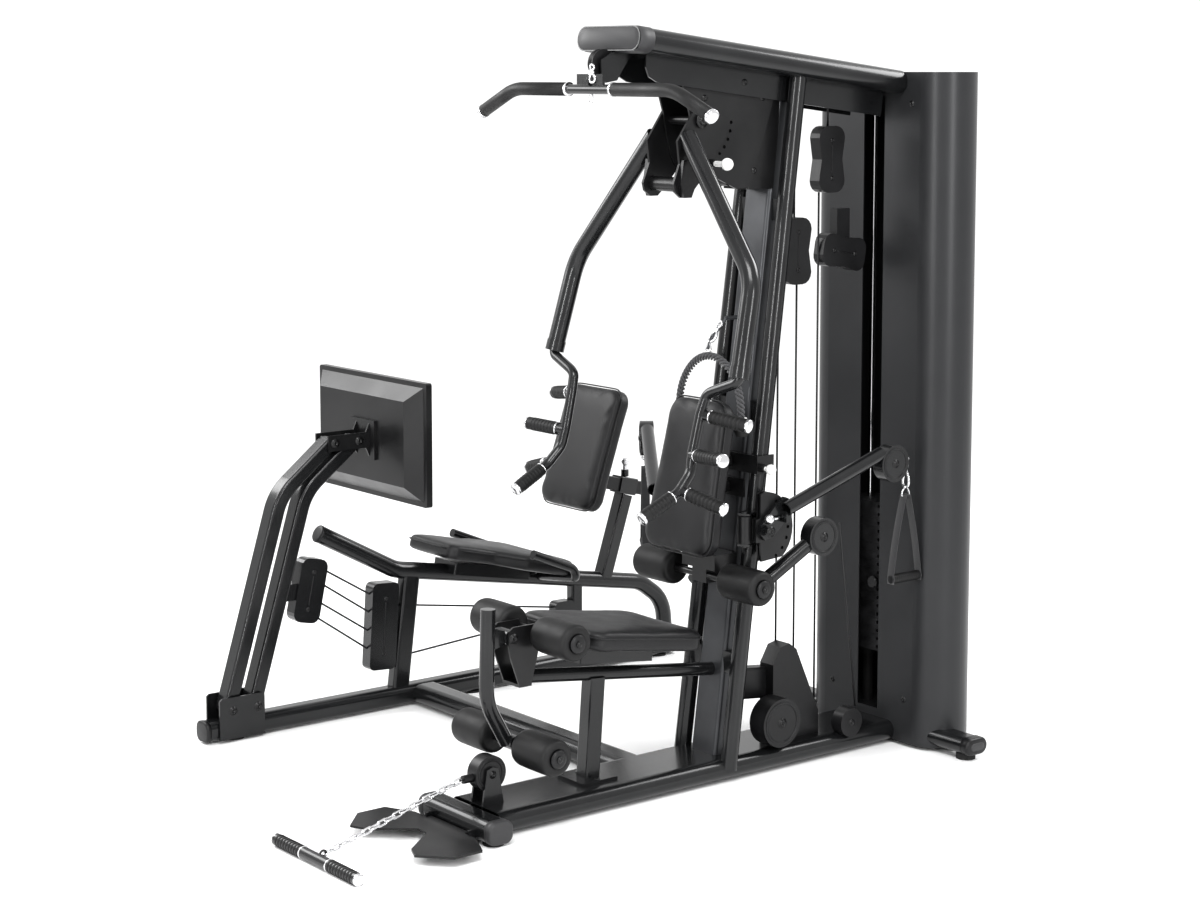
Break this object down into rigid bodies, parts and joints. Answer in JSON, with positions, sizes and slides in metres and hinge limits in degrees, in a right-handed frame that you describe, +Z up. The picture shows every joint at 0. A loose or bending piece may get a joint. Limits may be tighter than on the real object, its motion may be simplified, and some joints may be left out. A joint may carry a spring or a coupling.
{
  "type": "multi station home gym",
  "caption": "Free-standing home gym with a shrouded weight tower, press and pulldown bench, swivelling cable arms, leg developer, low row pulley and a linked leg press seat.",
  "frame": {"origin": "on the floor in the middle plane of the bench, under the foot of the upright column", "axes": "+X to the user's left-hand side away from the leg press, -Y towards the front of the bench, +Z up"},
  "size_m": [1.9572, 2.114, 2.0915],
  "materials": {
    "silver_paint": "satin",
    "grey_paint": "satin",
    "dark_paint": "satin",
    "chrome": "polished",
    "steel": "drawn",
    "cast_plates": "painted",
    "rubber": "matt",
    "foam": "matt foam",
    "black_plastic": "matt",
    "white_plastic": "gloss",
    "vinyl": "soft vinyl",
    "cable": "coated cable",
    "rope": "braided",
    "webbing": "woven"
  },
  "bodies": {
    "frame": {"base_rail": "grey_paint", "crossbars": "grey_paint", "cross_link": "grey_paint", "leg_press_rail": "grey_paint", "rubber_feet_and_buffers": "rubber", "upright_column": "grey_paint", "side_struts": "silver_paint", "boom": "silver_paint", "tower_shroud": "silver_paint", "guide_rods": "chrome", "lower_weight_plates": "cast_plates", "press_bracket": "grey_paint", "seat_frame": "dark_paint", "seat_pad": "vinyl", "lever_bracket": "dark_paint", "roller_bracket": "dark_paint", "arm_brackets": "grey_paint", "pulley_housings": "black_plastic", "steel_cables": "cable", "leg_press_frame": "silver_paint", "leg_press_seat_pad": "vinyl", "triceps_rope": "rope", "rope_ends": "rubber"},
    "stack": {"upper_weight_plates": "cast_plates", "stack_head": "cast_plates"},
    "selector": {"selector_pin": "black_plastic"},
    "press_arm": {"press_yoke": "grey_paint", "press_arms": "silver_paint"},
    "press_lock": {"press_knob": "white_plastic"},
    "right_press_handle": {"right_handle": "dark_paint", "right_grips": "foam"},
    "left_press_handle": {"left_handle": "dark_paint", "left_grips": "foam"},
    "pulldown_bar": {"lat_bar": "dark_paint", "lat_bar_grips": "foam"},
    "pulldown_wheel": {"lat_wheel": "black_plastic"},
    "back_rest": {"back_pad": "vinyl", "back_pad_bracket": "dark_paint"},
    "back_rest_lock": {"pad_knob": "white_plastic"},
    "knee_roller_pair": {"knee_rollers": "foam"},
    "lever": {"leg_lever": "silver_paint"},
    "ankle_roller_pair": {"ankle_rollers": "foam"},
    "hold_roller_pair": {"hold_rollers": "foam"},
    "low_pulley": {"low_pulley_housing": "black_plastic"},
    "row_handle": {"row_chain": "chrome", "row_bar": "dark_paint"},
    "foot_rest": {"foot_wings": "dark_paint"},
    "right_yoke": {"right_arm_yoke": "grey_paint"},
    "right_arm": {"right_cable_arm": "silver_paint"},
    "right_grip": {"right_stirrup": "webbing"},
    "left_yoke": {"left_arm_yoke": "grey_paint"},
    "left_arm": {"left_cable_arm": "silver_paint"},
    "left_grip": {"left_stirrup": "webbing"},
    "front_link": {"leg_press_front_link": "silver_paint"},
    "rear_link": {"leg_press_rear_link": "silver_paint"},
    "carriage": {"leg_press_carriage": "dark_paint", "leg_press_foot_plate": "black_plastic"},
    "leg_back_rest": {"leg_press_back_pad": "vinyl", "leg_press_back_post": "dark_paint"},
    "leg_back_lock": {"leg_press_pin": "black_plastic"}
  },
  "joints": [
    {"name": "stack_lift", "type": "slide", "parent": "frame", "child": "stack", "axis": [0, 0, 1], "range_m": [0, 0.8]},
    {"name": "selector_pull", "type": "slide", "parent": "stack", "child": "selector", "axis": [0, -1, 0], "range_m": [0, 0.08]},
    {"name": "press_swing", "type": "hinge", "parent": "frame", "child": "press_arm", "pos_m": [0, -0.083, 1.84], "axis": [-1, 0, 0], "range_deg": [0, 60]},
    {"name": "press_lock_pull", "type": "slide", "parent": "press_arm", "child": "press_lock", "axis": [1, 0, 0], "range_m": [0, 0.012], "stiffness_N_per_m": 1500, "springref_m": -0.002},
    {"name": "right_handle_swing", "type": "hinge", "parent": "press_arm", "child": "right_press_handle", "pos_m": [0.393, -0.221, 1.213], "axis": [0.0768, -0.2388, -0.968], "range_deg": [-45, 45]},
    {"name": "left_handle_swing", "type": "hinge", "parent": "press_arm", "child": "left_press_handle", "pos_m": [-0.393, -0.221, 1.213], "axis": [-0.0768, -0.2388, -0.968], "range_deg": [-45, 45]},
    {"name": "pulldown", "type": "slide", "parent": "frame", "child": "pulldown_bar", "axis": [0, 0, -1], "range_m": [0, 0.8]},
    {"name": "pulldown_wheel_spin", "type": "hinge", "parent": "frame", "child": "pulldown_wheel", "pos_m": [0, -0.37, 1.992], "axis": [1, 0, 0], "range_deg": [0, 1320]},
    {"name": "back_rest_slide", "type": "slide", "parent": "frame", "child": "back_rest", "axis": [0, 0.1201, 0.9928], "range_m": [-0.04, 0.04]},
    {"name": "back_rest_lock_pull", "type": "slide", "parent": "back_rest", "child": "back_rest_lock", "axis": [1, 0, 0], "range_m": [0, 0.012], "stiffness_N_per_m": 1500, "springref_m": -0.002},
    {"name": "knee_roller_spin", "type": "hinge", "parent": "frame", "child": "knee_roller_pair", "pos_m": [0, -0.613, 0.508], "axis": [1, 0, 0], "continuous": true},
    {"name": "lever_swing", "type": "hinge", "parent": "frame", "child": "lever", "pos_m": [0, -0.69, 0.5], "axis": [-1, 0, 0], "range_deg": [0, 80]},
    {"name": "ankle_roller_spin", "type": "hinge", "parent": "lever", "child": "ankle_roller_pair", "pos_m": [0, -0.676, 0.215], "axis": [1, 0, 0], "continuous": true},
    {"name": "hold_roller_spin", "type": "hinge", "parent": "frame", "child": "hold_roller_pair", "pos_m": [0, -0.012, 0.576], "axis": [1, 0, 0], "continuous": true},
    {"name": "low_pulley_swivel", "type": "hinge", "parent": "frame", "child": "low_pulley", "pos_m": [0, -0.752, 0.145], "axis": [-1, 0, 0], "range_deg": [0, 70]},
    {"name": "row_pull", "type": "slide", "parent": "low_pulley", "child": "row_handle", "axis": [0, -1, 0], "range_m": [0, 0.5]},
    {"name": "foot_rest_fold", "type": "hinge", "parent": "frame", "child": "foot_rest", "pos_m": [0, -0.872, 0.022], "axis": [-1, 0, 0], "range_deg": [0, 22]},
    {"name": "right_arm_turn", "type": "hinge", "parent": "frame", "child": "right_yoke", "pos_m": [0.14, 0.022, 0.719], "axis": [0, 0, 1], "range_deg": [-90, 0]},
    {"name": "right_arm_lift", "type": "hinge", "parent": "right_yoke", "child": "right_arm", "pos_m": [0.187, 0.058, 0.719], "axis": [1, 0, 0], "range_deg": [-60, 0]},
    {"name": "right_grip_swing", "type": "hinge", "parent": "right_arm", "child": "right_grip", "pos_m": [0.205, 0.5805, 0.868], "axis": [1, 0, 0], "range_deg": [-10, 0]},
    {"name": "left_arm_turn", "type": "hinge", "parent": "frame", "child": "left_yoke", "pos_m": [-0.14, 0.022, 0.719], "axis": [0, 0, 1], "range_deg": [-54, 36]},
    {"name": "left_arm_lift", "type": "hinge", "parent": "left_yoke", "child": "left_arm", "pos_m": [-0.19675, 0.00514, 0.719], "axis": [0.5878, 0.809, 0], "range_deg": [-60, 50]},
    {"name": "left_grip_swing", "type": "hinge", "parent": "left_arm", "child": "left_grip", "pos_m": [-0.63004, 0.29769, 0.868], "axis": [0.5878, 0.809, 0], "range_deg": [-10, 45]},
    {"name": "front_link_swing", "type": "hinge", "parent": "frame", "child": "front_link", "pos_m": [-1.14, -0.889, 0.095], "axis": [1, 0, 0], "range_deg": [0, 38]},
    {"name": "rear_link_swing", "type": "hinge", "parent": "frame", "child": "rear_link", "pos_m": [-1.14, -0.804, 0.095], "axis": [1, 0, 0], "range_deg": [0, 38]},
    {"name": "carriage_level", "type": "hinge", "parent": "front_link", "child": "carriage", "pos_m": [-1.14, -0.523, 0.857], "axis": [1, 0, 0], "range_deg": [-38, 0]},
    {"name": "leg_back_slide", "type": "slide", "parent": "frame", "child": "leg_back_rest", "axis": [0, 0.9713, -0.238], "range_m": [-0.045, 0.06]},
    {"name": "leg_back_lock_pull", "type": "slide", "parent": "frame", "child": "leg_back_lock", "axis": [0, 0, 1], "range_m": [0, 0.012], "stiffness_N_per_m": 1500, "springref_m": -0.002}
  ],
  "couplings": [
    {"joint": "pulldown", "follows": "stack_lift", "ratio": 1},
    {"joint": "pulldown_wheel_spin", "follows": "stack_lift", "rad_per_m": 28.571},
    {"joint": "rear_link_swing", "follows": "front_link_swing", "ratio": 1},
    {"joint": "carriage_level", "follows": "front_link_swing", "ratio": -1}
  ]
}
